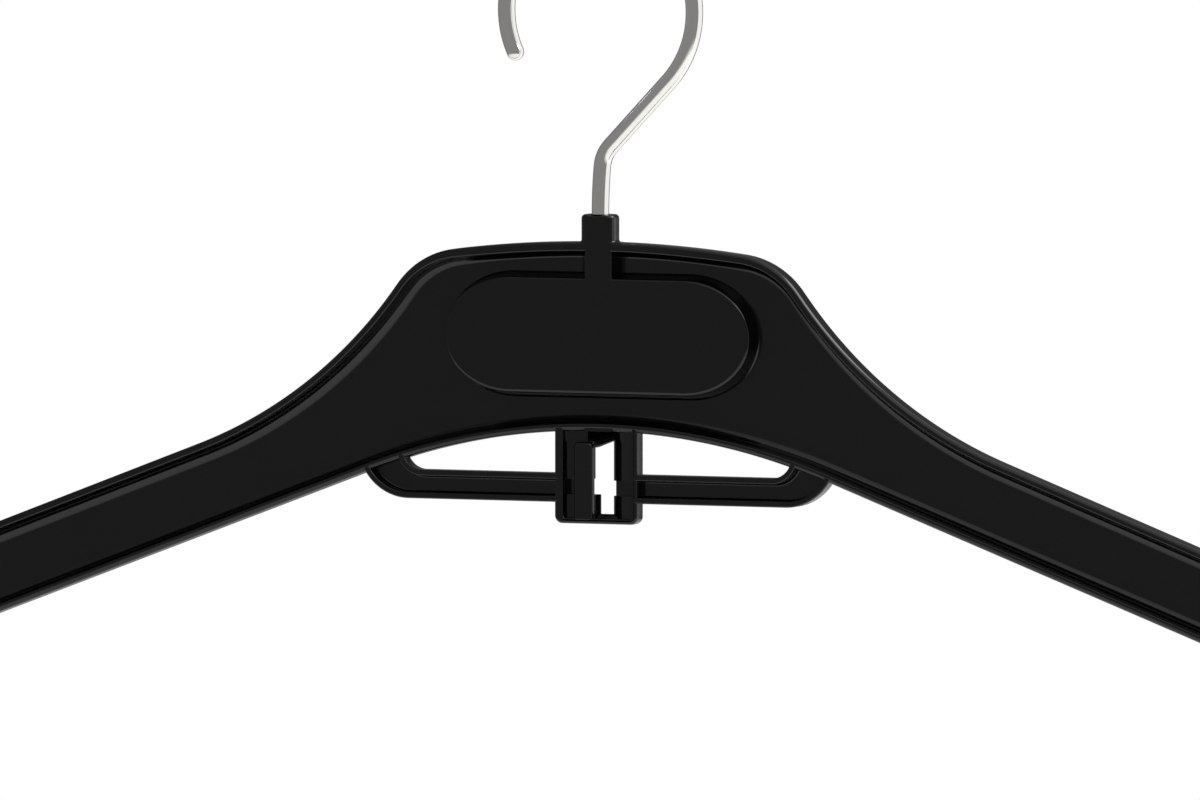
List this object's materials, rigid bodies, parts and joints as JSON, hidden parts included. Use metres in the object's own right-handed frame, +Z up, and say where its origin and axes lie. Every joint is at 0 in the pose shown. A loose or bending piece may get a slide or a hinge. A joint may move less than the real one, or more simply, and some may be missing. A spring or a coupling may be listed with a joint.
{
  "type": "bar hanger",
  "caption": "Moulded clothes hanger with channel-section arms, a raised label pad, a short under-bar with a keyhole socket and a swivelling wire hook.",
  "frame": {"origin": "inside of the hook's bow where it sits on a rail, on the swivel axis", "axes": "+X along the arms to the right seen from the front, -Y out of the front with the label pad, +Z up"},
  "size_m": [0.43, 0.0052, 0.1832],
  "materials": {
    "plated_steel": "bright nickel-chrome plate on drawn steel wire",
    "black_plastic": "satin black injection moulding"
  },
  "bodies": {
    "hook": {"swivel_hook": "plated_steel"},
    "hanger": {"hanger_body": "black_plastic"},
    "latch": {"latch_finger": "black_plastic"}
  },
  "joints": [
    {"name": "hook_swivel", "type": "hinge", "parent": "hook", "child": "hanger", "pos_m": [0, 0, -0.06434], "axis": [0, 0, 1], "continuous": true},
    {"name": "latch_flex", "type": "hinge", "parent": "hanger", "child": "latch", "pos_m": [-0.00317, -0.0017, -0.13014], "axis": [0, -1, 0], "range_deg": [0, 6], "stiffness_Nm_per_rad": 0.2}
  ]
}
